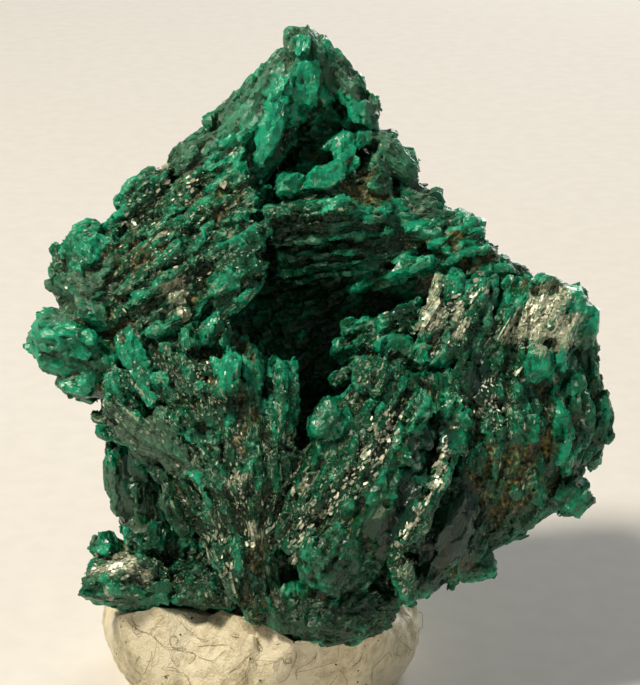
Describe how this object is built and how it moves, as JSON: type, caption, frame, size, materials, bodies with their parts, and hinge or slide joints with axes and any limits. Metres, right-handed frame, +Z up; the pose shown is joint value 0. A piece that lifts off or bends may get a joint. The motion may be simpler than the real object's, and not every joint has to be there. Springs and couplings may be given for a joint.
{
  "type": "euchroite specimen",
  "caption": "Craggy cluster of emerald-green euchroite crystals, fanned and stacked in curved plates, standing in a lump of cream mounting putty with a flat underside.",
  "frame": {"origin": "middle of the putty's flat underside", "axes": "+Z up from the surface it stands on, -Y towards the display side, +X to the right as seen from that side"},
  "size_m": [0.0299, 0.0201, 0.033],
  "materials": {
    "euchroite": "glassy emerald-green crystals with silvery and rusty coatings",
    "putty": "matt cream mounting putty, thumbed, with a little lint"
  },
  "bodies": {
    "root": {"euchroite_cluster": "euchroite", "mounting_putty": "putty"}
  },
  "joints": []
}
